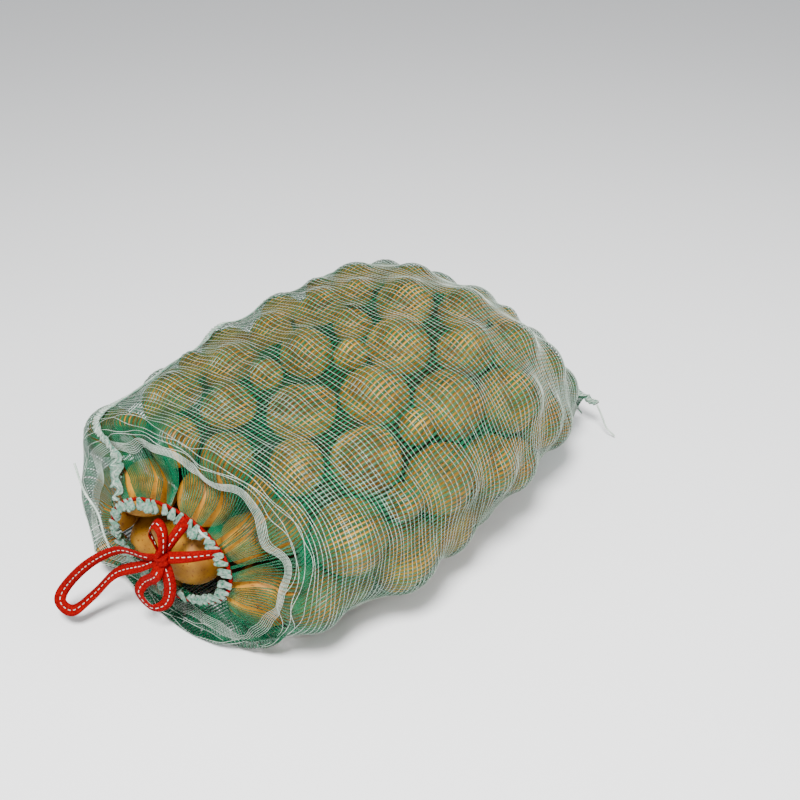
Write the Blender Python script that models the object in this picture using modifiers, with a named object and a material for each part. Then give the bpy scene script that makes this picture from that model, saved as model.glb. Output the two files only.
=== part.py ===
"""A mesh produce bag, filled with potatoes and tied shut, lying on its side.

The bag is a tube of leno net. Its closed end is sewn flat, one side is overlocked, and its mouth is a
gathered hem with a red drawstring tape that is tied in a bow. Metres; +X runs from the mouth to the
closed end, +Z is up, and the floor is z = 0.
"""

import math

import bmesh
import bpy
import numpy as np
from mathutils import Matrix, Vector
from mathutils.bvhtree import BVHTree

# ---- driving dimensions, in metres ----
NET_THICKNESS = 0.0015
GAP = 0.0006  # between neighbouring pieces
RING_POINTS = 40  # points round the bag
HEM_RADIUS = 0.0035
TAPE_RADIUS = 0.0028  # the flat tape, bunched
THREAD_RADIUS = 0.0013
CLEARANCE = 0.0035  # from the load to the net, and from the load to the floor

# The net's outline, from the mouth rim to the sewn end. Each section is a rounded ring:
# centre x, y, z; half width; half height; then in degrees its turn about Z, its lean back and its
# roll in its own plane; and how square it is (2 is an ellipse).
SECTIONS = [
    (-0.272, -0.006, 0.090, 0.070, 0.043, 24, 14, -24, 2.0),  # mouth rim
    (-0.264, -0.002, 0.098, 0.120, 0.074, 15, 15, -12, 2.2),  # selvedge band
    (-0.264, 0.002, 0.098, 0.156, 0.098, 10, 15, -4, 2.5),
    (-0.214, 0.002, 0.105, 0.181, 0.108, 6, 7, 0, 2.5),
    (-0.116, -0.003, 0.114, 0.202, 0.116, 0, 0, 0, 2.4),
    (0.000, 0.003, 0.122, 0.200, 0.124, 0, 0, 0, 2.4),
    (0.116, 0.010, 0.121, 0.186, 0.123, -3, 0, 0, 2.4),
    (0.205, 0.014, 0.092, 0.163, 0.094, -6, 0, 0, 2.4),
    (0.262, 0.010, 0.058, 0.136, 0.054, -8, 0, 0, 2.3),
    (0.290, 0.006, 0.045, 0.118, 0.004, -8, 0, 0, 2.2),  # sewn end
]
BAND_START, BAND_END = 0.97, 1.16  # along the sections
GATHER_START = 0.24
BODY_START = 1.20
SIDE_SEAM_ANGLE = math.radians(146)  # round the net, from the camera side over the top
SEAM_WIDTH, SEAM_THICKNESS, SEAM_STAND_OFF = 0.010, 0.002, 0.004
BOTTOM_SEAM_DEPTH, BOTTOM_SEAM_THICKNESS = 0.012, 0.004

# The load lies against the net in rings. Each ring has its place along SECTIONS, then its potatoes:
# angle round the net, length and breadth in centimetres, and how far the long axis turns from along
# the bag to round it, in degrees.
LOAD_RINGS = [
    (2.55, [(-50, 8, 7, 45), (-10, 7, 6, 90), (40, 6, 5, 0), (85, 6, 5.5, 60), (150, 7, 5.5, 30)]),
    (3.20, [(-30, 7, 6, 0), (15, 7.5, 7, 30), (60, 6, 5.5, 90), (115, 7, 6.5, 0)]),
    (3.85, [(-45, 8, 6, 0), (0, 8.5, 7, 60), (35, 7.5, 7, 0), (70, 8.5, 7.5, 45), (110, 6.5, 5.5, 0)]),
    (4.40, [(-15, 8.5, 6.5, 90), (25, 8, 7, 0), (60, 7.5, 7, 45), (95, 7.5, 6, 45)]),
    (4.95, [(-35, 6.5, 5, 45), (5, 7, 6, 60), (40, 8, 7.5, 0), (75, 8, 7, 45), (110, 6.5, 5.5, 0)]),
    (5.50, [(-10, 7, 5.5, 90), (25, 7.5, 7, 45), (60, 7, 6, 0), (90, 8, 6.5, 45)]),
    (6.05, [(-25, 6.5, 5.5, 0), (10, 7, 5.5, 90), (45, 6.5, 6, 30), (75, 7.5, 6, 45)]),
    (6.65, [(0, 6.5, 6, 60), (40, 7, 6, 90), (85, 7.5, 6, 45)]),
    (7.35, [(15, 6, 5.5, 90), (60, 6.5, 5.5, 0)]),
]
# Those that show in the mouth, in centimetres from the rim's middle: into the bag, towards the far
# side, and up; then length and breadth. The first is the bare one that nearly fills the opening.
MOUTH_LOAD = [
    (3.0, 0.5, -2.5, 7, 6.5),
    (5.0, 0.5, 3.5, 6.5, 6),
    (2.5, 7.0, -4.0, 6, 5.5),
    (1.5, 6.5, 3.0, 7, 6),
]
SETTLE_STEPS = 120

# The unseen middle of the load: centre and half sizes.
CORE_CENTRE = (0.000, 0.010, 0.064)
CORE_SIZE = (0.175, 0.092, 0.056)

# The drawstring. Angles are round the mouth rim. A route's points lie on a smooth curve.
EXIT_LEFT_ANGLE, EXIT_RIGHT_ANGLE = math.radians(92), math.radians(52)
KNOT_CENTRE = (-0.2900, -0.0190, 0.1010)
KNOT_SIZE = (0.0080, 0.0090, 0.0110)
LONG_LOOP = [
    (-0.300, -0.005, 0.100), (-0.310, 0.025, 0.095), (-0.330, 0.050, 0.075), (-0.350, 0.070, 0.045),
    (-0.360, 0.070, 0.030), (-0.355, 0.055, 0.025), (-0.335, 0.045, 0.040), (-0.315, 0.030, 0.065),
    (-0.300, 0.000, 0.085),
]
DROOPING_LOOP = [
    (-0.300, -0.020, 0.085), (-0.305, -0.005, 0.070), (-0.310, 0.000, 0.055), (-0.305, -0.010, 0.040),
    (-0.295, -0.020, 0.045), (-0.290, -0.025, 0.065), (-0.290, -0.025, 0.085),
]
SMALL_LOOP = [
    (-0.290, -0.010, 0.115), (-0.290, -0.005, 0.125), (-0.285, -0.010, 0.135), (-0.285, -0.020, 0.130),
    (-0.290, -0.025, 0.115),
]
SEAM_TAIL = [
    (-0.300, 0.105, 0.150), (-0.305, 0.085, 0.130), (-0.305, 0.065, 0.115), (-0.310, 0.050, 0.100),
    (-0.310, 0.045, 0.085), (-0.310, 0.050, 0.070),
]
CORNER_TAIL = [
    (0.280, -0.115, 0.045), (0.285, -0.120, 0.030), (0.285, -0.130, 0.015), (0.290, -0.140, 0.005),
]


# A point on the joint's axis of each moving piece. The pieces that swing with the bow turn on the line
# through its two exits, where bow_pivot() is.
WITH_BOW = ("drawstring_leg_left", "drawstring_leg_right", "bow_knot", "bow_small_loop")
PIVOTS = {
    "bow_long_loop": (-0.296, -0.010, 0.098),
    "bow_drooping_loop": (-0.294, -0.020, 0.090),
    "side_seam_tail": SEAM_TAIL[0],
    "corner_thread_tail": CORNER_TAIL[0],
}


def clear_scene():
    for thing in list(bpy.data.objects):
        bpy.data.objects.remove(thing, do_unlink=True)


def material(name, colour, roughness):
    made = bpy.data.materials.new(name)
    made.use_nodes = True
    shader = made.node_tree.nodes["Principled BSDF"]
    shader.inputs["Base Color"].default_value = (*colour, 1.0)
    shader.inputs["Roughness"].default_value = roughness
    shader.inputs["Metallic"].default_value = 0.0
    return made


def add_object(name, data, finish, collection):
    """One sub-part. A moving one has its origin on its joint's axis, the others at the world's."""
    piece = bpy.data.objects.new(name, data)
    collection.objects.link(piece)
    piece.data.materials.append(finish)
    if name in WITH_BOW or name in PIVOTS:
        pivot = bow_pivot() if name in WITH_BOW else Vector(PIVOTS[name])
        data.transform(Matrix.Translation(-pivot))
        piece.location = pivot
    return piece


# ---- the net's outline ----
def section_at(place):
    """The section's numbers at a place along SECTIONS, smoothly between the stated ones."""
    rows = np.array(SECTIONS, float)
    low = min(int(place), len(rows) - 2)
    share = place - low
    before, after = rows[max(low - 1, 0)], rows[min(low + 2, len(rows) - 1)]
    first, last = rows[low], rows[low + 1]
    slope_first, slope_last = (last - before) / 2, (after - first) / 2
    return (
        (2 * share**3 - 3 * share**2 + 1) * first
        + (share**3 - 2 * share**2 + share) * slope_first
        + (-2 * share**3 + 3 * share**2) * last
        + (share**3 - share**2) * slope_last
    )


def net_point(place, angle, stand_off=0.0):
    """A point on the net: angle 0 is the camera side, a quarter turn is the top."""
    x, y, z, half_width, half_height, turn, lean, roll, square = section_at(place)
    turn, lean, roll = math.radians(turn), math.radians(lean), math.radians(roll)
    across = Vector((math.sin(turn), -math.cos(turn), 0))
    upward = Vector((math.sin(lean), 0, math.cos(lean)))
    width_axis = across * math.cos(roll) + upward * math.sin(roll)
    height_axis = upward * math.cos(roll) - across * math.sin(roll)
    side = math.copysign(abs(math.cos(angle)) ** (2 / square), math.cos(angle))
    rise = math.copysign(abs(math.sin(angle)) ** (2 / square), math.sin(angle))
    point = (
        Vector((x, y, z))
        + width_axis * (half_width + stand_off) * side
        + height_axis * (half_height + stand_off) * rise
    )
    point.z = max(point.z, 0.0)  # the underside lies flat on the floor
    return point


def net_ring(place, count=RING_POINTS, stand_off=0.0):
    return [net_point(place, math.tau * k / count, stand_off) for k in range(count)]


def loft(rings, closed_ends=(False, False)):
    """Faces between rings of equal length, facing out where the rings turn as net_ring does."""
    mesh = bmesh.new()
    loops = [[mesh.verts.new(point) for point in ring] for ring in rings]
    for lower, upper in zip(loops, loops[1:]):
        for k in range(len(lower)):
            j = (k + 1) % len(lower)
            mesh.faces.new((lower[k], upper[k], upper[j], lower[j]))
    if closed_ends[0]:
        mesh.faces.new(loops[0])
    if closed_ends[1]:
        mesh.faces.new(list(reversed(loops[-1])))
    mesh.normal_update()
    return mesh


def finish_mesh(name, mesh):
    data = bpy.data.meshes.new(name)
    mesh.to_mesh(data)
    mesh.free()
    return data


def net_panel(name, start, end, rings, sewn, finish, collection):
    """A tube of net between two places along the bag, with real thickness inwards."""
    places = [start + (end - start) * k / (rings - 1) for k in range(rings)]
    mesh = loft([net_ring(place) for place in places], (False, sewn))
    piece = add_object(name, finish_mesh(name, mesh), finish, collection)
    solidify = piece.modifiers.new("net thickness", "SOLIDIFY")
    solidify.thickness = NET_THICKNESS
    solidify.offset = -1.0
    piece.data.shade_smooth()
    return piece


def strip(name, rows, finish, collection):
    """A solid strip from rows of four corner points, capped at both ends."""
    mesh = loft(rows, (True, True))
    bmesh.ops.recalc_face_normals(mesh, faces=mesh.faces[:])
    return add_object(name, finish_mesh(name, mesh), finish, collection)


def side_seam(finish, collection):
    """The overlocked seam, lying on the net from the band back to the sewn end."""
    rows = []
    for place in np.linspace(BODY_START + 0.1, len(SECTIONS) - 1.6, 40):
        half_angle = SEAM_WIDTH / 2 / section_at(place)[3]
        low, high = SEAM_STAND_OFF, SEAM_STAND_OFF + SEAM_THICKNESS
        rows.append(
            [
                net_point(place, SIDE_SEAM_ANGLE - half_angle, low),
                net_point(place, SIDE_SEAM_ANGLE + half_angle, low),
                net_point(place, SIDE_SEAM_ANGLE + half_angle, high),
                net_point(place, SIDE_SEAM_ANGLE - half_angle, high),
            ]
        )
    return strip("side_seam", rows, finish, collection)


def bottom_seam(finish, collection):
    """The folded and sewn end, a flat strip across the closed end of the net."""
    x, y, z, half_width, half_height, turn = section_at(len(SECTIONS) - 1)[:6]
    along = Vector((math.sin(math.radians(turn)), -math.cos(math.radians(turn)), 0))
    outward = Vector((-along.y, along.x, 0))
    rows = []
    for share in np.linspace(-1, 1, 13):
        base = Vector((x, y, z)) + along * (share * half_width) + outward * (GAP + 0.0012)
        tip = base + outward * BOTTOM_SEAM_DEPTH
        half = Vector((0, 0, BOTTOM_SEAM_THICKNESS / 2))
        rows.append([base - half, tip - half, tip + half, base + half])
    return strip("bottom_seam", rows, finish, collection)


def mouth_hem(finish, collection):
    """The gathered hem, a closed tube round the mouth rim."""
    centre = Vector(section_at(0.0)[:3])
    rim = net_ring(0.0)
    rings = []
    for k, point in enumerate(rim):
        along = (rim[(k + 1) % len(rim)] - rim[k - 1]).normalized()
        outward = (point - centre).normalized()
        normal = along.cross(outward).normalized()
        outward = normal.cross(along)
        rings.append(
            [
                point + (outward * math.cos(a) + normal * math.sin(a)) * HEM_RADIUS
                for a in (math.tau * j / 8 for j in range(8))
            ]
        )
    mesh = loft(rings + rings[:1])
    bmesh.ops.remove_doubles(mesh, verts=mesh.verts[:], dist=0.00001)
    bmesh.ops.recalc_face_normals(mesh, faces=mesh.faces[:])
    piece = add_object("mouth_hem", finish_mesh("mouth_hem", mesh), finish, collection)
    piece.data.shade_smooth()
    return piece


# ---- cords ----
def smooth_route(controls, spacing):
    """Evenly spaced points on a smooth curve through a route's own points."""
    points = [Vector(control) for control in controls]
    ends = [2 * points[0] - points[1], *points, 2 * points[-1] - points[-2]]
    fine = []
    for a, b, c, d in zip(ends, ends[1:], ends[2:], ends[3:]):
        for t in np.linspace(0, 1, 24, endpoint=False):
            bend = (2 * a - 5 * b + 4 * c - d) * t**2 + (3 * b - a - 3 * c + d) * t**3
            fine.append((2 * b + (c - a) * t + bend) / 2)
    fine.append(points[-1])
    line = np.array(fine)
    travelled = np.concatenate([[0], np.cumsum(np.linalg.norm(np.diff(line, axis=0), axis=1))])
    count = max(4, round(travelled[-1] / spacing) + 1)
    marks = np.linspace(0, travelled[-1], count)
    return np.stack([np.interp(marks, travelled, line[:, k]) for k in range(3)], axis=1)


def cord(name, points, radius, finish, collection):
    """A plain round tube along the points, with flat filled ends."""
    data = bpy.data.curves.new(name, "CURVE")
    data.dimensions = "3D"
    data.bevel_depth = radius
    data.bevel_resolution = 2
    data.use_fill_caps = True
    line = data.splines.new("POLY")
    line.points.add(len(points) - 1)
    for slot, point in zip(line.points, points):
        slot.co = (*point, 1.0)
    return add_object(name, data, finish, collection)


def free_cord(name, controls, radius, finish, collection):
    return cord(name, smooth_route(controls, 4 * radius), radius, finish, collection)


def rim_point(angle, inward):
    """A point just inside the mouth rim, pulled in front of it by the hem's own radius."""
    centre = Vector(section_at(0.0)[:3])
    point = net_point(0.0, angle)
    inside = point + (centre - point).normalized() * inward
    return inside + Vector((-0.93, -0.35, 0.12)) * HEM_RADIUS


def bow_pivot():
    """The middle of the line through the two exits, on the tape's own line."""
    inward = HEM_RADIUS + TAPE_RADIUS + GAP
    return (rim_point(EXIT_LEFT_ANGLE, inward) + rim_point(EXIT_RIGHT_ANGLE, inward)) / 2


def drawstring_run(finish, collection):
    """The tape inside the hem, from one exit the long way round to the other."""
    start, end = EXIT_LEFT_ANGLE + 0.06, EXIT_RIGHT_ANGLE + math.tau - 0.06
    angles = np.linspace(start, end, 44)
    inward = HEM_RADIUS + TAPE_RADIUS + GAP
    points = [rim_point(angle, inward) for angle in angles]
    return cord("drawstring_in_hem", points, TAPE_RADIUS, finish, collection)


def hem_bridge(finish, collection):
    """The thread that closes the hem between the two exits."""
    angles = np.linspace(EXIT_LEFT_ANGLE - 0.15, EXIT_RIGHT_ANGLE + 0.15, 7)
    inward = HEM_RADIUS + THREAD_RADIUS + GAP
    points = [rim_point(angle, inward) for angle in angles]
    return cord("hem_bridge_thread", points, THREAD_RADIUS, finish, collection)


def leg(name, exit_angle, finish, collection):
    """One end of the tape, from its exit out of the hem to the knot."""
    start = rim_point(exit_angle, HEM_RADIUS + TAPE_RADIUS + GAP)
    knot = Vector(KNOT_CENTRE)
    reach = knot - start
    reach *= 1 - (max(KNOT_SIZE) + TAPE_RADIUS / 2) / reach.length
    lift = Vector((-0.6, -0.5, 0.6)).normalized()
    points = []
    for share in np.linspace(0.04, 1.0, 7):
        bow = math.sin(math.pi * share) * 0.12 * reach.length
        points.append(start + reach * share + lift * bow)
    return cord(name, points, TAPE_RADIUS, finish, collection)


# ---- the load ----
def lay_against_net(place, angle, length, breadth, twist):
    """Centre, half sizes and axes of a potato that touches the net from inside."""
    touch = net_point(place, angle)
    along = (net_point(place + 0.05, angle) - net_point(place - 0.05, angle)).normalized()
    around = (net_point(place, angle + 0.05) - net_point(place, angle - 0.05)).normalized()
    inward = along.cross(around).normalized()
    around = inward.cross(along)
    long_axis = along * math.cos(twist) + around * math.sin(twist)
    sizes = np.array([length, breadth, breadth * 0.94]) / 200
    centre = touch + inward * (sizes[2] + CLEARANCE)
    axes = np.array([long_axis, inward.cross(long_axis), inward]).T
    return np.array(centre), sizes, axes


def laid_load():
    """Every potato's centre, half sizes and axes, those in the mouth first, before they settle."""
    middle = np.array(section_at(0.0)[:3])
    load = []
    for into, far, up, length, breadth in MOUTH_LOAD:
        half = np.array([length, breadth, breadth * 0.94]) / 200
        load.append((middle + np.array([into, far, up]) / 100, half, np.eye(3)))
    for place, ring in LOAD_RINGS:
        for angle, length, breadth, twist in ring:
            load.append(lay_against_net(place, math.radians(angle), length, breadth, math.radians(twist)))
    return load


def reach_along(axes, sizes, direction):
    """How far an ellipsoid reaches from its centre along a unit direction."""
    return float(np.linalg.norm(sizes * (axes.T @ direction)))


def skin_tree():
    """The net's surface from rim to sewn end, to measure the load's distance from."""
    places = np.linspace(0.0, len(SECTIONS) - 1, 50)
    mesh = loft([net_ring(place) for place in places], (False, True))
    tree = BVHTree.FromBMesh(mesh)
    mesh.free()
    return tree


def settled_load():
    """Centres of the potatoes, once those that press on each other, the net or the hem move apart."""
    tree = skin_tree()
    rim = [rim_point(angle, HEM_RADIUS) for angle in np.linspace(0, math.tau, RING_POINTS)]
    rim_keep_out = HEM_RADIUS + 2 * TAPE_RADIUS + GAP
    load = laid_load()
    centres = np.array([centre for centre, _sizes, _axes in load])
    sizes = np.array([half for _centre, half, _axes in load])
    axes = [turn for _centre, _sizes, turn in load]
    for _ in range(SETTLE_STEPS):
        for a in range(len(centres)):
            for b in range(a):
                apart = centres[a] - centres[b]
                distance = float(np.linalg.norm(apart))
                line = apart / distance
                need = reach_along(axes[a], sizes[a], line) + reach_along(axes[b], sizes[b], line)
                if distance < need + GAP:
                    push = line * (need + 2 * GAP - distance) / 2
                    centres[a] += push
                    centres[b] -= push
        for a in range(len(centres)):
            hit, outward, _face, distance = tree.find_nearest(Vector(centres[a]))
            inward = -np.array(outward)
            if np.dot(centres[a] - np.array(hit), inward) < 0:
                distance = -distance
            short = reach_along(axes[a], sizes[a], inward) + CLEARANCE - distance
            if short > 0:
                centres[a] += inward * short
            for point in rim:
                away = centres[a] - np.array(point)
                distance = float(np.linalg.norm(away))
                away /= distance
                short = reach_along(axes[a], sizes[a], away) + rim_keep_out - distance
                if short > 0:
                    centres[a] += away * short
            lowest = reach_along(axes[a], sizes[a], np.array([0.0, 0.0, 1.0])) + CLEARANCE
            centres[a][2] = max(centres[a][2], lowest)
    return centres, sizes, axes


def potato(name, centre, size, axes, finish, collection):
    mesh = bmesh.new()
    bmesh.ops.create_icosphere(mesh, subdivisions=2, radius=1.0)
    place = Matrix.Translation(Vector(centre)) @ Matrix(axes.tolist()).to_4x4()
    bmesh.ops.transform(mesh, verts=mesh.verts[:], matrix=place @ Matrix.Diagonal((*size, 1.0)))
    return add_object(name, finish_mesh(name, mesh), finish, collection)


def ball(name, centre, size, detail, finish, collection):
    mesh = bmesh.new()
    bmesh.ops.create_icosphere(mesh, subdivisions=detail, radius=1.0)
    place = Matrix.Translation(Vector(centre)) @ Matrix.Diagonal((*size, 1.0))
    bmesh.ops.transform(mesh, verts=mesh.verts[:], matrix=place)
    return add_object(name, finish_mesh(name, mesh), finish, collection)


def build():
    clear_scene()
    bag = bpy.data.collections.new("mesh_produce_bag")
    bpy.context.scene.collection.children.link(bag)

    net = material("green_net", (0.05, 0.42, 0.27), 0.5)
    trim = material("white_trim", (0.80, 0.86, 0.82), 0.7)
    tape = material("red_tape", (0.72, 0.01, 0.02), 0.75)
    skin = material("potato_skin", (0.72, 0.48, 0.20), 0.65)

    last = len(SECTIONS) - 1
    net_panel("net_body", BODY_START, last, 30, True, net, bag)
    net_panel("selvedge_band", BAND_START, BAND_END, 3, False, trim, bag)
    net_panel("mouth_gather", GATHER_START, BAND_START - 0.03, 6, False, net, bag)
    mouth_hem(trim, bag)
    side_seam(trim, bag)
    bottom_seam(trim, bag)

    drawstring_run(tape, bag)
    hem_bridge(trim, bag)
    leg("drawstring_leg_left", EXIT_LEFT_ANGLE, tape, bag)
    leg("drawstring_leg_right", EXIT_RIGHT_ANGLE, tape, bag)
    ball("bow_knot", KNOT_CENTRE, KNOT_SIZE, 2, tape, bag)
    free_cord("bow_long_loop", LONG_LOOP, TAPE_RADIUS, tape, bag)
    free_cord("bow_drooping_loop", DROOPING_LOOP, TAPE_RADIUS, tape, bag)
    free_cord("bow_small_loop", SMALL_LOOP, TAPE_RADIUS, tape, bag)
    free_cord("side_seam_tail", SEAM_TAIL, THREAD_RADIUS, trim, bag)
    free_cord("corner_thread_tail", CORNER_TAIL, THREAD_RADIUS, trim, bag)

    centres, sizes, axes = settled_load()
    for k, (centre, size, turn) in enumerate(zip(centres, sizes, axes), start=1):
        potato(f"potato_{k:02d}", centre, size, turn, skin, bag)
    ball("load_core", CORE_CENTRE, CORE_SIZE, 3, skin, bag)


build()
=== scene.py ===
"""The looks of a mesh produce bag: a leno net sack of potatoes, lying on its side.

The net is real threads: flat green tapes along the bag and pairs of twisted white cords round it, laid
over a surface that is pulled tight on the potatoes. Metres; +X runs from the tied mouth to the sewn
end, +Z is up, and the floor is z = 0.
"""

import math

import bmesh
import bpy
import numpy as np
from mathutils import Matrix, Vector


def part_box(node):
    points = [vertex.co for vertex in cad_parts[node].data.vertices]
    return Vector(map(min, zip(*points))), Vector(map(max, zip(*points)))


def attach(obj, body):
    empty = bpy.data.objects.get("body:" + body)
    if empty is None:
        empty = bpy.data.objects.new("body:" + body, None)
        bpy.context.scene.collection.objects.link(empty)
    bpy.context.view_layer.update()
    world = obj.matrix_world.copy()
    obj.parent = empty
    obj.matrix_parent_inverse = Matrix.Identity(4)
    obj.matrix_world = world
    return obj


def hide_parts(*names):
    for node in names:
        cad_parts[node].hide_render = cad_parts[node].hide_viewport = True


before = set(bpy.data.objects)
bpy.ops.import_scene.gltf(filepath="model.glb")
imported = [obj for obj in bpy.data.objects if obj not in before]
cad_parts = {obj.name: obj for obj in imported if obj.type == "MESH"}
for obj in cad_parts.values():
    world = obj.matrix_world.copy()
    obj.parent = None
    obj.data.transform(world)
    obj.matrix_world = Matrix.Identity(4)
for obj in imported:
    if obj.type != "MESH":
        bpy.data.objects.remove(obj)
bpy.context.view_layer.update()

# ---- camera and light ----
CAMERA_PLACE = (-0.594, -0.638, 0.719)
CAMERA_TURN = (math.radians(56), 0, math.radians(-45))
CAMERA_LENS = 42.75
WORLD_STRENGTH = 0.62
KEY_LIGHT = ((-0.8, -0.6, 1.7), 0.5, 84)  # place, size across and power
FILL_LIGHT = ((0.9, -1.2, 1.2), 1.0, 12)

# ---- the net's outline, as the CAD has it ----
# Centre x, y, z; half width; half height; turn, lean and roll in degrees; and how square it is.
SECTIONS = np.array([
    (-0.272, -0.006, 0.090, 0.070, 0.043, 24, 14, -24, 2.0),  # mouth rim
    (-0.264, -0.002, 0.098, 0.120, 0.074, 15, 15, -12, 2.2),  # selvedge band
    (-0.264, 0.002, 0.098, 0.156, 0.098, 10, 15, -4, 2.5),
    (-0.214, 0.002, 0.105, 0.181, 0.108, 6, 7, 0, 2.5),
    (-0.116, -0.003, 0.114, 0.202, 0.116, 0, 0, 0, 2.4),
    (0.000, 0.003, 0.122, 0.200, 0.124, 0, 0, 0, 2.4),
    (0.116, 0.010, 0.121, 0.186, 0.123, -3, 0, 0, 2.4),
    (0.205, 0.014, 0.092, 0.163, 0.094, -6, 0, 0, 2.4),
    (0.262, 0.010, 0.058, 0.136, 0.054, -8, 0, 0, 2.3),
    (0.290, 0.006, 0.045, 0.118, 0.004, -8, 0, 0, 2.2),  # sewn end
])
LAST = len(SECTIONS) - 1

TAPES = 208  # round the bag
TAPE_WIDTH, TAPE_THICKNESS = 0.0030, 0.00012
NARROWEST = 0.36  # of a tape's width, at the hem
ROW_STEP = 0.004  # between rows of the net's surface
CORD_PITCH, CORD_RADIUS, CORD_TWIST = 0.0053, 0.00015, 0.00017
BODY_PLACE = 1.45  # where the open weave begins
BAND_PLACE, BAND_CORDS, BAND_CORD_STEP = 1.0, 7, 0.0017
LOOSE_CORDS = (0.011, 0.019, 0.031, 0.038)  # single cords between the band and the open weave
PULL_DEPTH = 0.0150  # how far the net sinks between potatoes
NET_BEND = 0.00006  # how far a point of the net may sink below its neighbours' mean
MOUTH_FADE = 5  # rows at the mouth over which the sinking starts
TOUCH = 0.0010  # from a potato's skin to the net
ABOVE_FLOOR = 0.0008  # the net's lowest line
HEM_PLEATS = 44
HEM_GATHERS, GATHER_PULL = 38, 0.5  # bunches that the tapes draw into at the hem, and how tightly
FOLDS = (112, 335)  # angles of the deep folds that run back from the hem
FOLD_TAPES, FOLD_PULL = 9, 0.8  # tapes that a fold draws in on each side, and how tightly
FOLD_END, FOLD_LENGTH = 3.3, 2.5  # the place where a fold ends, and the places that it takes to do so
SIDE_SEAM_ANGLE, SIDE_SEAM_DRIFT = math.radians(146), math.radians(20)
DRIFT_ROWS, RUFFLE_ROWS = 20, 16  # rows from the mouth over which that seam drifts and stands up
SEAM_WIDTH, BOTTOM_SEAM_WIDTH = 0.009, 0.011
BOTTOM_SEAM_INSET = 0.006  # from the ends of the room that it has

# How far each kind of cord waves, in rows, and how much each cord waves by itself.
CORD_WAVES = {"net_cords": (0.16, 1.0), "loose_cords": (1.0, 0.6), "selvedge_cords": (0.9, 0.02)}

# ---- the load ----
POTATO_SWELL = 1.045  # closes the gaps that the CAD keeps between its potatoes
FILLER_RADII = (0.036, 0.034, 0.031, 0.028, 0.025, 0.022, 0.019)
FILLER_ROOM = 0.90  # of a filler's radius, from its middle to the next potato's skin
END_OF_LOAD = 0.285  # no filler reaches past this, where the net closes to its seam
MOUTH_REACH = 0.085  # from the mouth's middle, within which the fillers stay back from it
CORE_PLACES = (3.0, LAST - 1.3)  # where the shell of painted shade in the load's middle starts and ends
CORE_SHARE = 0.80  # of the net's girth there
FACE_PLACE, FACE_SHARE, BEHIND_FACE = 2.0, 0.7, 0.040  # its front, which lies behind the mouth's face

# ---- the drawstring and threads, with the routes that the CAD has ----
RIBBON_WIDTH, RIBBON_THICKNESS = 0.0115, 0.0009
STITCH_LENGTH, STITCH_GAP = 0.0030, 0.0026
STITCH_HALF = (0.0005, 0.00025)  # half its width, and half its height
STITCH_FREE = 0.010  # at a tape's ends
CHAIN_WIDTH = 0.0022
EXIT_LEFT, EXIT_RIGHT = 92, 52  # angles on the rim where the legs come out of the hem
BRIDGE_LEFT, BRIDGE_RIGHT = 82, 68  # where the thread between them starts and ends
KNOT, KNOT_HALF = (-0.2900, -0.0190, 0.1010), (0.0065, 0.0080, 0.0085)
MOUTH_OUT = Vector((-0.93, -0.35, 0.12)).normalized()  # the way that the mouth faces
LONG_LOOP = [
    (-0.300, -0.005, 0.100), (-0.310, 0.025, 0.095), (-0.330, 0.050, 0.075), (-0.350, 0.070, 0.045),
    (-0.360, 0.070, 0.030), (-0.355, 0.055, 0.025), (-0.335, 0.045, 0.040), (-0.315, 0.030, 0.065),
    (-0.300, 0.000, 0.085),
]
DROOPING_LOOP = [
    (-0.300, -0.020, 0.085), (-0.305, -0.005, 0.070), (-0.310, 0.000, 0.055), (-0.305, -0.010, 0.040),
    (-0.295, -0.020, 0.045), (-0.290, -0.025, 0.065), (-0.290, -0.025, 0.085),
]
SMALL_LOOP = [
    (-0.290, -0.010, 0.115), (-0.290, -0.005, 0.125), (-0.285, -0.010, 0.135), (-0.285, -0.020, 0.130),
    (-0.290, -0.025, 0.115),
]
SEAM_TAIL = [
    (-0.300, 0.105, 0.150), (-0.305, 0.085, 0.130), (-0.305, 0.065, 0.115), (-0.310, 0.050, 0.100),
    (-0.310, 0.045, 0.085), (-0.310, 0.050, 0.070),
]
CORNER_TAIL = [
    (0.280, -0.115, 0.045), (0.285, -0.120, 0.030), (0.285, -0.130, 0.015), (0.290, -0.140, 0.005),
]


# ---- scene ----
def add_camera():
    data = bpy.data.cameras.new("camera")
    data.sensor_width, data.lens = 36, CAMERA_LENS
    camera = bpy.data.objects.new("camera", data)
    camera.location, camera.rotation_euler = CAMERA_PLACE, CAMERA_TURN
    bpy.context.scene.collection.objects.link(camera)
    bpy.context.scene.camera = camera


def area_light(name, place, size, power):
    data = bpy.data.lights.new(name, "AREA")
    data.shape, data.size, data.energy = "DISK", size, power
    light = bpy.data.objects.new(name, data)
    light.location = place
    light.rotation_euler = (-Vector(place)).to_track_quat("-Z", "Y").to_euler()
    bpy.context.scene.collection.objects.link(light)


def add_studio():
    world = bpy.data.worlds.new("studio")
    world.use_nodes = True
    backdrop = world.node_tree.nodes["Background"]
    backdrop.inputs["Color"].default_value = (0.95, 0.97, 1.0, 1)
    backdrop.inputs["Strength"].default_value = WORLD_STRENGTH
    bpy.context.scene.world = world
    area_light("key", *KEY_LIGHT)
    area_light("fill", *FILL_LIGHT)
    mesh = bmesh.new()
    bmesh.ops.create_grid(mesh, x_segments=1, y_segments=1, size=6.0)
    floor = add_mesh("floor", mesh, plain("floor_paint", (0.96, 0.96, 0.96), 0.9))


# ---- materials ----
def plain(name, colour, roughness, shine=0.3):
    made = bpy.data.materials.new(name)
    made.use_nodes = True
    shader = made.node_tree.nodes["Principled BSDF"]
    shader.inputs["Base Color"].default_value = (*colour, 1)
    shader.inputs["Roughness"].default_value = roughness
    shader.inputs["Specular IOR Level"].default_value = shine
    return made


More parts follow.
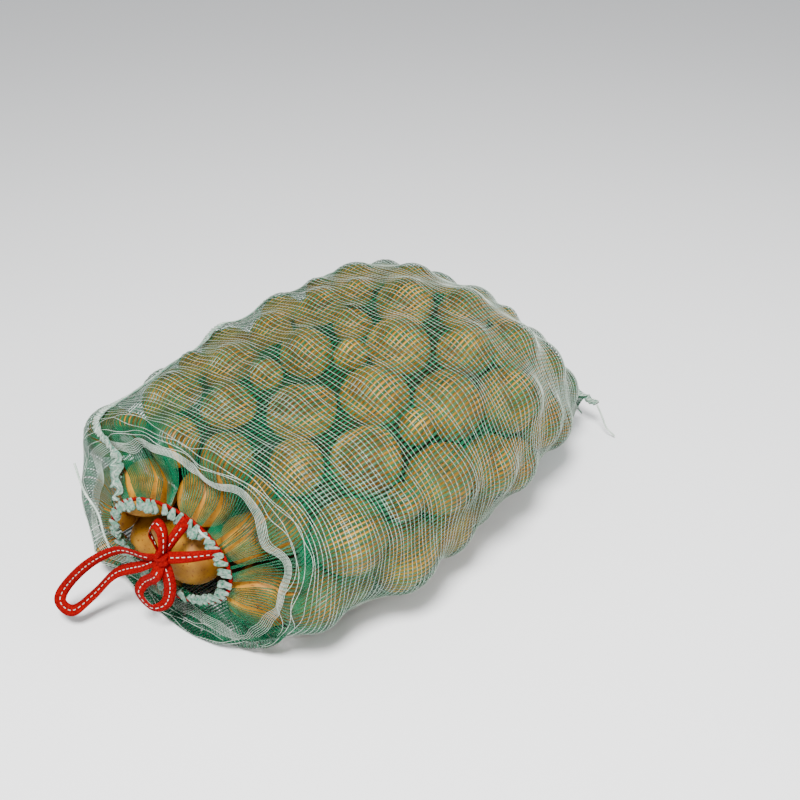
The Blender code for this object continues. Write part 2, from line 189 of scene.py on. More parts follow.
def noise(tree, scale, detail, coordinates):
    node = tree.nodes.new("ShaderNodeTexNoise")
    node.inputs["Scale"].default_value = scale
    node.inputs["Detail"].default_value = detail
    tree.links.new(coordinates, node.inputs["Vector"])
    return node.outputs["Fac"]


def ramp(tree, value, stops):
    node = tree.nodes.new("ShaderNodeValToRGB")
    while len(node.color_ramp.elements) < len(stops):
        node.color_ramp.elements.new(0.5)
    for element, (place, colour) in zip(node.color_ramp.elements, stops):
        element.position, element.color = place, (*colour, 1)
    tree.links.new(value, node.inputs["Fac"])
    return node.outputs["Color"]


def bump(tree, shader, height, strength, distance):
    node = tree.nodes.new("ShaderNodeBump")
    node.inputs["Strength"].default_value = strength
    node.inputs["Distance"].default_value = distance
    tree.links.new(height, node.inputs["Height"])
    tree.links.new(node.outputs["Normal"], shader.inputs["Normal"])


def multiply(tree, first, second):
    node = tree.nodes.new("ShaderNodeMix")
    node.data_type, node.blend_type = "RGBA", "MULTIPLY"
    node.inputs["Factor"].default_value = 1
    tree.links.new(first, node.inputs["A"])
    tree.links.new(second, node.inputs["B"])
    return node.outputs["Result"]


def object_space(tree):
    return tree.nodes.new("ShaderNodeTexCoord").outputs["Object"]


def potato_skin():
    """Washed skin: tan to yellow in patches, with brown freckles and a fine grain."""
    made = plain("potato_skin", (0.72, 0.48, 0.20), 0.55)
    tree = made.node_tree
    shader = tree.nodes["Principled BSDF"]
    shader.inputs["Subsurface Weight"].default_value = 0.08
    shader.inputs["Subsurface Scale"].default_value = 0.004
    space = object_space(tree)
    patches = ramp(tree, noise(tree, 26, 4, space),
                   [(0.32, (0.21, 0.080, 0.005)), (0.50, (0.40, 0.175, 0.010)), (0.70, (0.58, 0.29, 0.020))])
    freckles = ramp(tree, noise(tree, 420, 2, space),
                    [(0.60, (1, 1, 1)), (0.70, (0.50, 0.34, 0.20))])
    tree.links.new(multiply(tree, patches, freckles), shader.inputs["Base Color"])
    bump(tree, shader, noise(tree, 300, 6, space), 0.25, 0.0006)
    return made


def woven(name, dark, light, grain, roughness, shine=0.3, cover=1.0):
    """Drawn plastic thread or tape, whose colour shifts a little along it. cover is how opaque it is."""
    made = plain(name, light, roughness, shine)
    tree = made.node_tree
    shader = tree.nodes["Principled BSDF"]
    space = object_space(tree)
    shader.inputs["Alpha"].default_value = cover
    tone = ramp(tree, noise(tree, grain, 3, space), [(0.30, dark), (0.70, light)])
    tree.links.new(tone, shader.inputs["Base Color"])
    bump(tree, shader, noise(tree, grain * 12, 2, space), 0.3, 0.0002)
    return made


# ---- meshes ----
def add_mesh(name, mesh, finish, smooth=True):
    data = bpy.data.meshes.new(name)
    mesh.to_mesh(data)
    mesh.free()
    return add_data(name, data, finish, smooth)


def add_data(name, data, finish, smooth=True):
    data.materials.append(finish)
    data.polygons.foreach_set("use_smooth", [smooth] * len(data.polygons))
    piece = bpy.data.objects.new(name, data)
    bpy.context.scene.collection.objects.link(piece)
    return piece


def add_strands(name, strands, finish):
    """One mesh of many tubes. strands is (count, steps, sides, 3); closed ones repeat their start."""
    count, steps, sides, _ = strands.shape
    index = np.arange(count * steps * sides).reshape(count, steps, sides)
    near, far = index[:, :-1], index[:, 1:]
    walls = np.stack([near, np.roll(near, -1, 2), np.roll(far, -1, 2), far], axis=-1).reshape(-1, 4)
    data = bpy.data.meshes.new(name)
    data.from_pydata(strands.reshape(-1, 3).tolist(), [], walls.tolist())
    data.update()
    return add_data(name, data, finish)


def frames_along(points, normals):
    """Unit side and normal at each point of lines (..., steps, 3) that lie on a surface."""
    ahead = np.gradient(points, axis=-2)
    ahead /= np.linalg.norm(ahead, axis=-1, keepdims=True) + 1e-12
    side = np.cross(normals, ahead)
    side /= np.linalg.norm(side, axis=-1, keepdims=True) + 1e-12
    return side, np.cross(ahead, side)


def tubes(points, normals, half_width, half_height, sides=4):
    """Strand sections: ellipses of the given half sizes round each point."""
    side, up = frames_along(points, normals)
    turn = np.arange(sides) * math.tau / sides + math.pi / sides
    width, height = np.broadcast_arrays(half_width, half_height)
    width = np.broadcast_to(width, points.shape[:-1])[..., None, None]
    height = np.broadcast_to(height, points.shape[:-1])[..., None, None]
    return (points[..., None, :]
            + side[..., None, :] * (np.cos(turn)[:, None] * width)
            + up[..., None, :] * (np.sin(turn)[:, None] * height))


# ---- the net's surface ----
def sections_at(places):
    """The sections' numbers at places along them, smoothly between the stated ones."""
    low = np.clip(places.astype(int), 0, LAST - 1)
    t = (places - low)[:, None]
    before, first = SECTIONS[np.maximum(low - 1, 0)], SECTIONS[low]
    last, after = SECTIONS[low + 1], SECTIONS[np.minimum(low + 2, LAST)]
    return ((2 * t**3 - 3 * t**2 + 1) * first + (t**3 - 2 * t**2 + t) * (last - before) / 2
            + (3 * t**2 - 2 * t**3) * last + (t**3 - t**2) * (after - first) / 2)


def outline(places, angles):
    """Points of the slack net. angles is (places, round); 0 is the -Y side, a quarter turn the top."""
    rows = sections_at(places)[:, None, :]
    middle, half_width, half_height = rows[..., :3], rows[..., 3], rows[..., 4]
    turn, lean, roll = (np.radians(rows[..., k]) for k in (5, 6, 7))
    zero = np.zeros_like(turn)
    across = np.stack([np.sin(turn), -np.cos(turn), zero], axis=-1)
    upward = np.stack([np.sin(lean), zero, np.cos(lean)], axis=-1)
    width_axis = across * np.cos(roll)[..., None] + upward * np.sin(roll)[..., None]
    height_axis = upward * np.cos(roll)[..., None] - across * np.sin(roll)[..., None]
    power = 2 / rows[..., 8]
    side = np.sign(np.cos(angles)) * np.abs(np.cos(angles)) ** power * half_width
    rise = np.sign(np.sin(angles)) * np.abs(np.sin(angles)) ** power * half_height
    points = middle + width_axis * side[..., None] + height_axis * rise[..., None]
    points[..., 2] = np.maximum(points[..., 2], ABOVE_FLOOR)
    return points


def surface_normals(points):
    """Outward normals of a grid (rows, round, 3) that closes round the bag."""
    along = np.gradient(points, axis=0)
    around = (np.roll(points, -1, 1) - np.roll(points, 1, 1)) / 2
    normals = np.cross(around, along)
    normals /= np.linalg.norm(normals, axis=-1, keepdims=True) + 1e-12
    middle = points.mean(axis=1, keepdims=True)
    return normals * np.sign(((points - middle) * normals).sum(-1).mean())


def evenly_spaced_places(step):
    """Places along the sections that are a step apart on the bag's surface, on average."""
    fine = np.linspace(0, LAST, 500)
    angles = np.tile(np.linspace(0, math.tau, 48, endpoint=False), (len(fine), 1))
    gaps = np.linalg.norm(np.diff(outline(fine, angles), axis=0), axis=-1).mean(axis=1)
    travelled = np.concatenate([[0], np.cumsum(gaps)])
    return np.append(np.interp(np.arange(0, travelled[-1] - step / 2, step), travelled, fine), LAST)


def even_angles(places, count):
    """Angles round each section that are equal distances apart on its outline."""
    fine = np.linspace(0, math.tau, 361)
    rings = outline(places, np.tile(fine, (len(places), 1)))
    gaps = np.linalg.norm(np.diff(rings, axis=1), axis=-1)
    travelled = np.concatenate([np.zeros((len(places), 1)), np.cumsum(gaps, axis=1)], axis=1)
    share = np.arange(count) / count
    return np.stack([np.interp(share * row[-1], row, fine) for row in travelled])


def room_inside(slack, inward, centres, sizes, axes):
    """How far each point of the net can go inward before it meets a potato."""
    flat, ray = slack.reshape(-1, 3), inward.reshape(-1, 3)
    room = np.full(len(flat), np.inf)
    for centre, half, turn in zip(centres, sizes + TOUCH, axes):
        start, way = (flat - centre) @ turn / half, ray @ turn / half
        a, b, c = (way * way).sum(1), (start * way).sum(1), (start * start).sum(1) - 1
        under = b * b - a * c
        entry = (-b - np.sqrt(np.maximum(under, 0))) / a
        meets = (under > 0) & (entry > -0.02) & (entry < 0.06)
        room = np.where(meets, np.minimum(room, entry), room)
    return room.reshape(slack.shape[:2])


def pulled_tight(slack, centres, sizes, axes, steps=120):
    """The net once it is tight on the load: it sinks between the potatoes, and rests on them."""
    inward = -surface_normals(slack)
    room = np.clip(room_inside(slack, inward, centres, sizes, axes), -0.006, PULL_DEPTH)
    sink = room.copy()
    for _ in range(steps):
        spread = (np.roll(sink, 1, 1) + np.roll(sink, -1, 1)) / 2
        spread[1:-1] = spread[1:-1] * 0.5 + (sink[2:] + sink[:-2]) / 4
        sink = np.minimum(room, spread + NET_BEND)
    on_floor = np.clip(slack[..., 2] / 0.012, 0, 1)
    fade = np.clip(np.arange(len(slack)) / MOUTH_FADE, 0, 1)[:, None] * on_floor
    points = slack + inward * (sink * fade)[..., None]
    points[..., 2] = np.maximum(points[..., 2], ABOVE_FLOOR)
    return points


# ---- the load ----
def potato_facts(node):
    """Centre, swollen half sizes and axes of a CAD potato, from its vertices."""
    points = np.array([vertex.co for vertex in node.data.vertices])
    centre = (points.max(axis=0) + points.min(axis=0)) / 2
    _u, _s, turn = np.linalg.svd(points - centre, full_matrices=False)
    if np.linalg.det(turn) < 0:
        turn[2] *= -1
    return centre, np.abs((points - centre) @ turn.T).max(axis=0) * POTATO_SWELL, turn.T


def lumpy(centre, sizes, axes, draw, detail=5):
    """A potato: an uneven ellipsoid with a few shallow eyes, within its half sizes."""
    mesh = bmesh.new()
    bmesh.ops.create_icosphere(mesh, subdivisions=detail, radius=1.0)
    rays = np.array([vertex.co for vertex in mesh.verts])
    swell = np.ones(len(rays))
    for _ in range(4):
        way = draw.normal(size=3)
        swell += draw.uniform(-0.05, 0.05) * np.sin(rays @ way * 2 + draw.uniform(0, math.tau))
    for _ in range(6):
        eye = draw.normal(size=3)
        eye /= np.linalg.norm(eye)
        swell -= 0.035 * np.exp(-((1 - rays @ eye) / 0.006))
    points = (rays * (swell / swell.max())[:, None] * sizes) @ axes.T + centre
    for vertex, point in zip(mesh.verts, points):
        vertex.co = point
    return mesh


def hidden_load(surface, centres, sizes):
    """Potatoes that fill the bag between the CAD's: each is the largest that fits where it lies."""
    draw = np.random.default_rng(7)
    skin = surface[1:-1, ::2].reshape(-1, 3)
    outward = surface_normals(surface)[1:-1, ::2].reshape(-1, 3)
    middle = np.repeat(surface[1:-1].mean(axis=1), surface[:, ::2].shape[1], axis=0)
    taken, radii = centres.copy(), sizes.mean(axis=1)
    new = []
    for radius in FILLER_RADII:
        under_net = skin - outward * (radius + 0.004)
        within = middle + (skin - middle) * np.sqrt(draw.uniform(0, 0.6, (len(skin), 1)))
        for spots in (under_net, within):
            for k in draw.permutation(len(spots)):
                spot = spots[k]
                gap = np.linalg.norm(taken - spot, axis=1) - radii
                clear = spot[2] > radius + 0.002 and gap.min() > radius * FILLER_ROOM
                if clear and not in_mouth(spot, radius) and fits_inside(spot, radius, skin, outward):
                    new.append((spot, radius))
                    taken = np.vstack([taken, spot])
                    radii = np.append(radii, radius)
    spots = np.array([spot for spot, _radius in new])
    radius = np.array([radius for _spot, radius in new])
    turns = np.linalg.qr(draw.normal(size=(len(new), 3, 3)))[0]
    turns *= np.sign(np.linalg.det(turns))[:, None, None]
    return spots, radius[:, None] * draw.uniform(0.93, 1.0, (len(new), 3)), turns


def fits_inside(spot, radius, skin, outward):
    """Whether a potato is clear of the net all round, on its inner side."""
    distance = np.linalg.norm(skin - spot, axis=1)
    nearest = distance.argmin()
    inside = (skin[nearest] - spot) @ outward[nearest] > 0
    return inside and distance[nearest] > radius + 0.001 and spot[0] < END_OF_LOAD - radius


def in_mouth(spot, radius):
    """Whether a potato would come out of the open mouth, or fill it before the CAD's own ones."""
    offset = spot - SECTIONS[0, :3]
    depth = -offset @ np.array(MOUTH_OUT)
    return depth < radius + 0.008 and np.linalg.norm(offset + depth * np.array(MOUTH_OUT)) < MOUTH_REACH


# ---- threads of the net ----
def gathered_columns(count, rows):
    """Columns of the tapes, which draw into bunches as they near the hem."""
    even = np.arange(count, dtype=float)
    draw = np.random.default_rng(11)
    edges = np.sort(draw.uniform(0, count, HEM_GATHERS))
    pull = np.zeros(count)
    for k, edge in enumerate(edges):
        after = edges[(k + 1) % HEM_GATHERS] + (count if k == HEM_GATHERS - 1 else 0)
        middle = (edge + after) / 2
        place = np.where(even < edges[0], even + count, even)
        inside = (place >= edge) & (place < after)
        pull[inside] = (middle - place[inside]) * GATHER_PULL
    strength = np.clip(1 - rows / BAND_PLACE, 0, 1) ** 1.3 + 0.22 * np.exp(-((rows - 1.3) / 0.35) ** 2)
    columns = even[None] + strength[:, None] * pull[None]
    depth = FOLD_PULL * np.clip((FOLD_END - rows) / FOLD_LENGTH, 0, 1) ** 0.7
    for angle in FOLDS:
        offset = (even - angle / 360 * count + count / 2) % count - count / 2
        columns -= depth[:, None] * (offset * np.exp(-(offset / FOLD_TAPES) ** 2))[None]
    return columns


def read_grid(grid, row, column):
    """Values of a grid (rows, round, 3) at fractional rows and columns."""
    row = np.clip(row, 0, len(grid) - 1.001)
    low, left = np.floor(row).astype(int), np.floor(column).astype(int)
    down, right = (row - low)[..., None], (column - left)[..., None]
    left, after = left % grid.shape[1], (left + 1) % grid.shape[1]
    near = grid[low, left] * (1 - right) + grid[low, after] * right
    far = grid[low + 1, left] * (1 - right) + grid[low + 1, after] * right
    return near * (1 - down) + far * down


def as_piece(piece, body, slot, *nodes):
    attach(piece, body)
    if nodes:
        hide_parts(*nodes)
    return piece


def add_tapes(tight, normals, places, finish):
    columns = gathered_columns(TAPES, places)
    rows = np.arange(len(places), dtype=float)[:, None] + np.zeros((1, TAPES))
    line = np.swapaxes(read_grid(tight, rows, columns), 0, 1)
    up = np.swapaxes(read_grid(normals, rows, columns), 0, 1)
    draw = np.random.default_rng(5)
    width = TAPE_WIDTH * draw.uniform(0.75, 1.1, (TAPES, 1))
    narrowed = NARROWEST + (1 - NARROWEST) * np.clip((places - 0.3) / 1.3, 0, 1)[None]
    strands = tubes(line, up, width * narrowed / math.sqrt(2), TAPE_THICKNESS)
    piece = add_strands("net_tapes", strands, finish)
    return as_piece(piece, "bag", "green_net", "net_body", "mouth_gather")


def add_cords(name, tight, normals, rows, wander, stray, finish, phase):
    """One of the two threads in each cord, which turn round each other between the tapes.

    wander is how far the cords wave, in rows, and stray is how much each waves by itself.
    """
    column = np.arange(TAPES * 3 + 1) / 3
    swing = wander * (np.sin(column[None] * 0.21 + stray * rows[:, None] * 1.7)
                      + 0.6 * np.sin(column[None] * 0.11 + stray * rows[:, None] * 0.4))
    draw = np.random.default_rng(len(rows))
    for turns in (5, 9, 17):
        start = 1 + stray * draw.uniform(0, math.tau, (len(rows), 1))
        swing = swing + wander * 0.45 * np.sin(column[None] / TAPES * math.tau * turns + start)
    swing -= (swing[:, -1:] - swing[:, :1]) * (column / TAPES)[None]
    line = read_grid(tight, rows[:, None] + swing, column[None] + 0 * swing)
    up = read_grid(normals, rows[:, None] + swing, column[None] + 0 * swing)
    side, _up = frames_along(line, up)
    twist = column[None, :, None] * math.pi + phase
    line = line + up * (0.0005 + CORD_TWIST * np.sin(twist)) + side * CORD_TWIST * np.cos(twist)
    return add_strands(name, tubes(line, up, CORD_RADIUS, CORD_RADIUS, 3), finish)


def add_all_cords(tight, normals, places, finish):
    band = float(np.searchsorted(places, BAND_PLACE))
    body = float(np.searchsorted(places, BODY_PLACE))
    band_rows = band + np.arange(BAND_CORDS) * BAND_CORD_STEP / ROW_STEP
    loose_rows = band_rows[-1] + np.array(LOOSE_CORDS) / ROW_STEP
    body_rows = np.arange(max(body, loose_rows[-1] + 2), len(places) - 2, CORD_PITCH / ROW_STEP)
    all_rows = {"net_cords": body_rows, "loose_cords": loose_rows, "selvedge_cords": band_rows}
    pieces = []
    for strand, phase in (("a", 0.0), ("b", math.pi)):
        for name, rows in all_rows.items():
            piece = add_cords(f"{name}_{strand}", tight, normals, rows, *CORD_WAVES[name], finish, phase)
            stands_for = ["selvedge_band"] if piece.name == "selvedge_cords_a" else []
            pieces.append(as_piece(piece, "bag", "white_trim", *stands_for))
    return pieces


# ---- seams ----
def zigzag(line, side, up, half_width, step, lift):
    """An overlock thread that crosses a seam from edge to edge."""
    turn = np.arange(len(line)) / step
    swing = (np.abs((turn % 2) - 1) * 2 - 1)[:, None]
    return line + side * swing * half_width + up * lift


def add_side_seam(tight, normals, places, finish, thread):
    """The overlocked seam, whose allowance stands up in ruffles near the mouth."""
    rows = np.linspace(0.5, np.searchsorted(places, LAST - 0.08), 1000)
    drift = SIDE_SEAM_DRIFT * np.clip(1 - rows / DRIFT_ROWS, 0, 1)
    column = (SIDE_SEAM_ANGLE + drift) / math.tau * TAPES + 0.5 * np.sin(rows * 0.35)
    line, up = read_grid(tight, rows, column), read_grid(normals, rows, column)
    flap = np.clip(1.2 - rows / RUFFLE_ROWS, 0, 1)[:, None]
    wave = np.arange(len(line))[:, None]
    side, up = frames_along(line, up)
    line = line + up * (0.0016 + flap * 0.0035 * (1 + np.sin(wave * 0.42)))
    line = line + side * flap * 0.003 * np.sin(wave * 0.29)
    taper = np.minimum(1, np.minimum(wave, wave[::-1])[:, 0] / 25 + 0.15)
    ruffle = (1 + 0.22 * np.sin(wave * 0.23) + flap * 0.9)[:, 0]
    ridge = tubes(line[None], up[None], (SEAM_WIDTH / 2 * taper * ruffle)[None], 0.0009 * taper[None], 8)
    as_piece(closed_ends(add_strands("side_seam_fold", ridge, finish)), "bag", "white_trim", "side_seam")
    half_width = SEAM_WIDTH / 2 * (1 - 0.7 * flap)
    threads = np.stack([zigzag(line, side, up, half_width, step, 0.0012) for step in (3, 4)])
    as_piece(add_strands("side_seam_threads", tubes(threads, np.stack([up, up]), 0.0004, 0.0004), thread),
             "bag", "white_trim")


def add_bottom_seam(finish, thread):
    lo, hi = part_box("bottom_seam")
    share = np.linspace(0, 1, 500)
    start = np.array((hi.x - BOTTOM_SEAM_INSET, hi.y, hi.z))
    end = np.array((lo.x + BOTTOM_SEAM_INSET, lo.y, hi.z))
    line = start * (1 - share[:, None]) + end * share[:, None]
    line[:, 2] = (lo.z + hi.z) / 2 + 0.0012 * np.sin(share * 90) + 0.0008 * np.sin(share * 231)
    up = np.tile((0.0, 0.0, 1.0), (len(line), 1))
    side, up = frames_along(line, up)
    fold = tubes(line[None], up[None], BOTTOM_SEAM_WIDTH / 2, 0.0016, 8)
    as_piece(add_strands("bottom_seam_fold", fold, finish), "bag", "white_trim", "bottom_seam")
    crossing = zigzag(line, side, up, BOTTOM_SEAM_WIDTH / 2, 4, 0.0017)
    as_piece(add_strands("bottom_seam_threads", tubes(crossing[None], up[None], 0.0005, 0.0005), thread),
             "bag", "white_trim")


# ---- hem ----
def rim_frame(share):
    """Point on the rim, and the ways along it, out from the mouth's middle, and out of the bag."""
    angle = share * math.tau
    nearby = outline(np.zeros(1), np.array([[angle - 0.02, angle, angle + 0.02]]))[0]
    middle = SECTIONS[0, :3]
    along = Vector(nearby[2] - nearby[0]).normalized()
    outward = Vector(nearby[1] - middle).normalized()
    front = along.cross(outward).normalized()
    if front.dot(MOUTH_OUT) < 0:
        front.negate()
    return Vector(nearby[1]), along, outward, front


def pleat(mesh, share, draw):
    """One fold of the hem: a flattened tab that turns in to the mouth and flares at its free edge."""
    point, along, outward, front = rim_frame(share)
    length, width = draw.uniform(0.0095, 0.0155), draw.uniform(0.0040, 0.0058)
    lean = draw.uniform(-0.3, 0.3)
    inward = (-outward + along * lean + front * draw.uniform(0.0, 0.4)).normalized()
    across = inward.cross(front).normalized()
    rise = across.cross(inward)
    rings = []
    for t in np.linspace(0, 1, 9):
        flare = width * (0.36 + 0.84 * t) * math.sqrt(1 - 0.85 * max(0, (t - 0.65) / 0.35) ** 2)
        thick = 0.0012 * (1 - 0.35 * t)
        centre = point + outward * 0.0030 + front * 0.0026 + inward * t * length
        rings.append([
            mesh.verts.new(centre + across * flare * math.cos(a) + rise * (thick * math.sin(a)
                           + 0.0022 * t * math.sin(math.cos(a) * 8 + length * 900)))
            for a in np.arange(12) * math.tau / 12
        ])
    for near, far in zip(rings, rings[1:]):
        for k in range(12):
            mesh.faces.new((near[k], near[(k + 1) % 12], far[(k + 1) % 12], far[k]))
    mesh.faces.new(list(reversed(rings[0])))
    mesh.faces.new(rings[-1])


def hem_exit(angle):
    """Where the drawstring comes out of the hem."""
    point, _along, _outward, front = rim_frame(angle / 360)
    return point + front * 0.002


def add_hem(cloth, tape):
    draw = np.random.default_rng(21)
    mesh = bmesh.new()
    for k in range(HEM_PLEATS):
        pleat(mesh, (k + draw.uniform(-0.25, 0.25)) / HEM_PLEATS, draw)
    bmesh.ops.recalc_face_normals(mesh, faces=mesh.faces[:])
    as_piece(add_mesh("hem_pleats", mesh, cloth), "bag", "white_trim", "mouth_hem")
    shares = np.linspace(0, 1, 241)
    frames = [rim_frame(share) for share in shares]
    lifts = 0.0010 + 0.0006 * np.sin(shares * math.tau * HEM_PLEATS)
    line = np.array([point + outward * 0.0006 + front * float(lift)
                     for lift, (point, _along, outward, front) in zip(lifts, frames)])
    up = np.array([front for _point, _along, _outward, front in frames])
    piece = add_strands("drawstring_in_hem_tape", tubes(line[None], up[None], 0.0021, 0.0012, 6), tape)
    as_piece(piece, "bag", "red_tape", "drawstring_in_hem")


# ---- the drawstring ----
def smooth_route(controls, step):
    """Evenly spaced points on a smooth curve through a route's own points."""
    points = [np.array(control) for control in controls]
    ends = [2 * points[0] - points[1], *points, 2 * points[-1] - points[-2]]
    fine = []
    for a, b, c, d in zip(ends, ends[1:], ends[2:], ends[3:]):
        for t in np.linspace(0, 1, 24, endpoint=False):
            bend = (2 * a - 5 * b + 4 * c - d) * t**2 + (3 * b - a - 3 * c + d) * t**3
            fine.append((2 * b + (c - a) * t + bend) / 2)
    line = np.array([*fine, points[-1]])
    travelled = np.concatenate([[0], np.cumsum(np.linalg.norm(np.diff(line, axis=0), axis=1))])
    marks = np.linspace(0, travelled[-1], max(8, round(travelled[-1] / step)))
    return np.stack([np.interp(marks, travelled, line[:, k]) for k in range(3)], axis=1)


def closed_ends(piece):
    """Fills the two open ends of a single strand."""
    mesh = bmesh.new()
    mesh.from_mesh(piece.data)
    bmesh.ops.holes_fill(mesh, edges=[edge for edge in mesh.edges if edge.is_boundary])
    bmesh.ops.recalc_face_normals(mesh, faces=mesh.faces[:])
    mesh.to_mesh(piece.data)
    mesh.free()
    return piece


def ribbon(name, points, turn, finish):
    """A flat woven tape whose face turns slowly as it goes."""
    face = np.tile(MOUTH_OUT, (len(points), 1))
    side, up = frames_along(points, face)
    angle = np.linspace(turn[0], turn[1], len(points))[:, None]
    up = up * np.cos(angle) + side * np.sin(angle)
    strand = tubes(points[None], up[None], RIBBON_WIDTH / 2 / math.cos(math.pi / 8), RIBBON_THICKNESS / 2, 8)
    return closed_ends(add_strands(name, strand, finish)), up


def stitches(name, points, up, finish, body):
    """A dashed line of stitches down the middle of a tape, on both its faces."""
    travelled = np.concatenate([[0], np.cumsum(np.linalg.norm(np.diff(points, axis=0), axis=1))])
    height = RIBBON_THICKNESS / 2 + 0.0001
    dashes = []
    for start in np.arange(STITCH_FREE, travelled[-1] - STITCH_FREE, STITCH_LENGTH + STITCH_GAP):
        marks = np.linspace(start, start + STITCH_LENGTH, 5)
        middle = np.stack([np.interp(marks, travelled, points[:, k]) for k in range(3)], axis=1)
        face = np.stack([np.interp(marks, travelled, up[:, k]) for k in range(3)], axis=1)
        for sign in (1, -1):
            dashes.append(tubes(middle + face * sign * height, face, *STITCH_HALF))
    return as_piece(add_strands(name, np.array(dashes), finish), body, "white_trim")


def into_knot(controls):
    """A loop's route with both its ends drawn in to the knot's side, where the tape goes under it."""
    knot = Vector(KNOT)
    if (Vector(controls[-1]) - knot).length < 0.001:  # a leg, which ends in the knot already
        return controls
    ends = []
    for control in (controls[0], controls[-1]):
        way = Vector(control) - knot
        ends.append(knot + way.normalized() * min(0.004, way.length / 2))
    return [ends[0], *controls, ends[1]]


def add_loop(name, controls, turn, body, node, tape, thread):
    points = smooth_route(into_knot(controls), 0.0015)
    piece, up = ribbon(f"{name}_tape", points, turn, tape)
    as_piece(piece, body, "red_tape", node)
    return piece, points, stitches(f"{name}_stitches", points, up, thread, body)


def add_knot(tape):
    """The bow's knot: a lump with the folds of the tape in it."""
    mesh = bmesh.new()
    bmesh.ops.create_icosphere(mesh, subdivisions=4, radius=1.0)
    for vertex in mesh.verts:
        ray = vertex.co.copy()
        fold = 1 + 0.13 * math.sin(ray.z * 7 + ray.y * 2) + 0.06 * math.sin(ray.y * 11)
        vertex.co = Vector(KNOT) + Vector(KNOT_HALF) * ray * fold
    return as_piece(add_mesh("knot_tape", mesh, tape), "bow", "red_tape", "bow_knot")


def add_bow(tape, thread):
    """The knot, the legs from the hem to it, and the three loops."""
    parts = [add_knot(tape)]
    for name, start, turn in (("left", EXIT_LEFT, (0.5, 1.1)), ("right", EXIT_RIGHT, (0.2, -0.5))):
        bend = (hem_exit(start) + Vector(KNOT)) / 2 + Vector((-0.004, -0.003, 0.003))
        piece, _points, dashes = add_loop(f"leg_{name}", [hem_exit(start), bend, Vector(KNOT)], turn, "bow",
                                          f"drawstring_leg_{name}", tape, thread)
        parts += [piece, dashes]
    piece, _points, dashes = add_loop("small_loop", SMALL_LOOP, (0.9, 1.5), "bow", "bow_small_loop",
                                      tape, thread)
    parts += [piece, dashes]
    for name, controls, turn, body in (("long_loop", LONG_LOOP, (0.3, 0.9), "long_loop"),
                                       ("drooping_loop", DROOPING_LOOP, (0.2, -0.7), "drooping_loop")):
        piece, points, dashes = add_loop(name, controls, turn, body, f"bow_{name}", tape, thread)


def add_thread_tail(name, controls, body, node, finish):
    """A chain of sewing thread: a tube with a bead at each link."""
    points = smooth_route(controls, 0.0006)
    up = np.tile(MOUTH_OUT, (len(points), 1))
    radius = CHAIN_WIDTH / 2 * (1 + 0.22 * np.sin(np.arange(len(points)) * 1.4))
    strand = tubes(points[None], up[None], radius[None], radius[None], 8)
    piece = closed_ends(add_strands(name, strand, finish))
    as_piece(piece, body, "white_trim", node)


def add_bridge(finish):
    """The hem's thread between the two exits."""
    start, end = np.array(hem_exit(BRIDGE_LEFT)), np.array(hem_exit(BRIDGE_RIGHT))
    share = np.linspace(0, 1, 60)[:, None]
    line = start * (1 - share) + end * share + np.array(MOUTH_OUT) * 0.002 * np.sin(math.pi * share)
    up = np.tile(MOUTH_OUT, (len(line), 1))
    piece = closed_ends(add_strands("hem_bridge", tubes(line[None], up[None], 0.0016, 0.0008, 8), finish))
    as_piece(piece, "bag", "white_trim", "hem_bridge_thread")


# ---- the load's pieces ----
def add_load(slack, finish):
    """All the potatoes. Returns their centres, half sizes and axes."""
    names = sorted(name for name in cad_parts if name.startswith("potato_"))
    facts = [potato_facts(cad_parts[name]) for name in names]
    centres, sizes, axes = (np.array(values) for values in zip(*facts))
    more = hidden_load(slack, centres, sizes)
    draw = np.random.default_rng(3)
    for name, fact in zip(names, facts):
        as_piece(add_mesh(f"{name}_look", lumpy(*fact, draw), finish), "bag", "potato_skin", name)
    scratch = bpy.data.meshes.new("one_potato")
    merged = bmesh.new()
    for fact in zip(*more):
        one = lumpy(*fact, draw, detail=4)
        one.to_mesh(scratch)
        one.free()
        merged.from_mesh(scratch)
    as_piece(add_mesh("hidden_potatoes", merged, finish), "bag", "potato_skin", "load_core")
    return [np.concatenate([first, second]) for first, second in zip((centres, sizes, axes), more)]


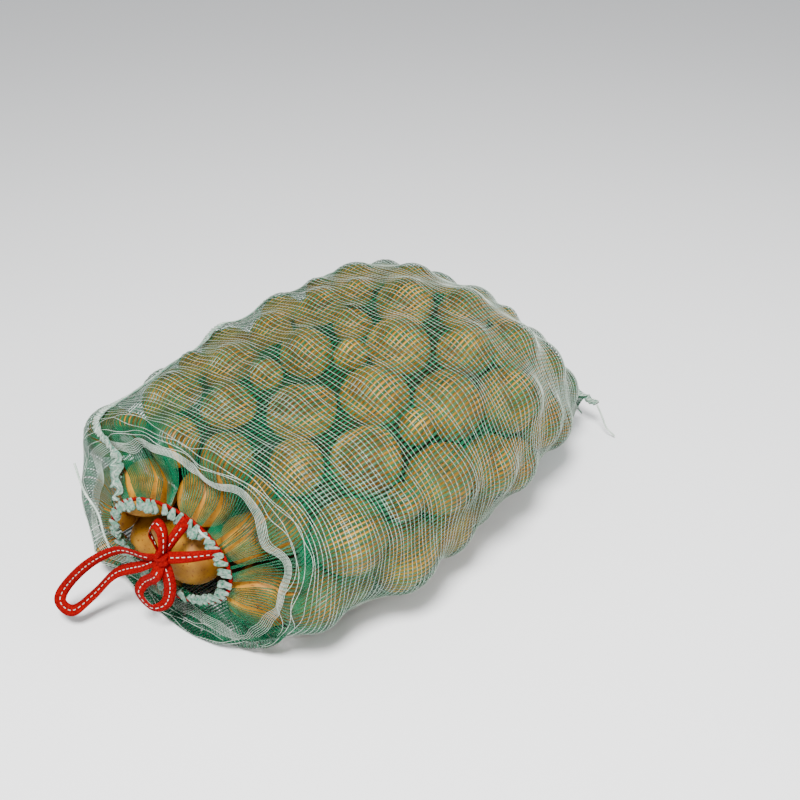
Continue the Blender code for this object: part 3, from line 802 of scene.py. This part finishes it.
def add_painted_shade_load(tight, places, finish):
    """Painted shade between the potatoes: a brown-black shell in the load's middle that stands in for the
    shade where no light reaches.
    """
    rings = tight[(places > CORE_PLACES[0]) & (places < CORE_PLACES[1])]
    middle = rings.mean(axis=1, keepdims=True)
    inner = middle + (rings - middle) * CORE_SHARE
    ring = tight[np.searchsorted(places, FACE_PLACE)][None]
    centre = ring.mean(axis=1, keepdims=True)
    front = centre + (ring - centre) * FACE_SHARE + (BEHIND_FACE, 0, 0)
    inner = np.concatenate([front, inner])
    index = np.arange(inner[..., 0].size).reshape(inner.shape[:2])
    near, far = index[:-1], index[1:]
    walls = np.stack([near, np.roll(near, -1, 1), np.roll(far, -1, 1), far], axis=-1).reshape(-1, 4)
    data = bpy.data.meshes.new("painted_shade_load")
    data.from_pydata(inner.reshape(-1, 3).tolist(), [], walls.tolist())
    as_piece(closed_ends(add_data("painted_shade_load", data, finish)), "bag", "potato_skin")


add_camera()
add_studio()
skin = potato_skin()
green = woven("green_tape", (0.0, 0.040, 0.016), (0.0, 0.135, 0.052), 60, 0.22, shine=0.3, cover=0.62)
white = woven("white_cord", (0.32, 0.42, 0.34), (0.62, 0.68, 0.60), 90, 0.7, shine=0.08)
hem_cloth = woven("hem_cloth", (0.02, 0.15, 0.09), (0.30, 0.35, 0.30), 380, 0.7, shine=0.15)
red = woven("red_tape", (0.12, 0.0, 0.0005), (0.26, 0.0, 0.001), 500, 0.8, shine=0.05)
# painted shade: a brown-black colour for the shell in the load's middle, standing in for the shade between
# the potatoes
shade_paint = woven("painted_shade_load", (0.006, 0.004, 0.001), (0.045, 0.022, 0.005), 30, 0.9, shine=0.05)

add_bow(red, white)
add_thread_tail("seam_chain", SEAM_TAIL, "seam_tail", "side_seam_tail", white)
add_thread_tail("corner_chain", CORNER_TAIL, "corner_tail", "corner_thread_tail", white)

places = evenly_spaced_places(ROW_STEP)
slack = outline(places, even_angles(places, TAPES))
tight = pulled_tight(slack, *add_load(slack, skin))
normals = surface_normals(tight)
# the shell of painted shade inside the load
add_painted_shade_load(tight, places, shade_paint)
net = add_tapes(tight, normals, places, green)
add_all_cords(tight, normals, places, white)
add_side_seam(tight, normals, places, hem_cloth, white)
add_bottom_seam(hem_cloth, white)
add_hem(hem_cloth, red)
add_bridge(white)
